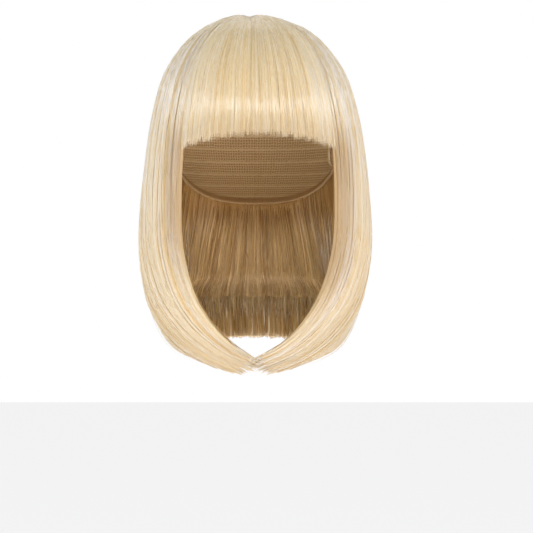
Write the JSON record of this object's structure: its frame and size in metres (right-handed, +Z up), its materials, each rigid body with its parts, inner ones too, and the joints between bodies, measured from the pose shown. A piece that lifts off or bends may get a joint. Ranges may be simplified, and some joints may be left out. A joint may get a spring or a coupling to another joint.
{
  "type": "bob wig",
  "caption": "Straight chin-to-shoulder bob wig with a full blunt fringe, on a thin stretch cap that is open below for the head.",
  "frame": {"origin": "inner top of the cap, the point that sits on the crown of the head", "axes": "+Z up; the fringe faces -Y; +X is the wearer's left, which is the right of the picture"},
  "size_m": [0.2002, 0.2211, 0.3034],
  "materials": {
    "hair": "satin",
    "hair_inner": "satin",
    "cap_net": "matte",
    "skin_top": "matte"
  },
  "bodies": {
    "root": {"cap": "cap_net", "crown_patch": "skin_top", "bangs": "hair", "side_lock_left": "hair", "side_lock_right": "hair", "back_hair": "hair", "nape_hair": "hair_inner"}
  },
  "joints": []
}
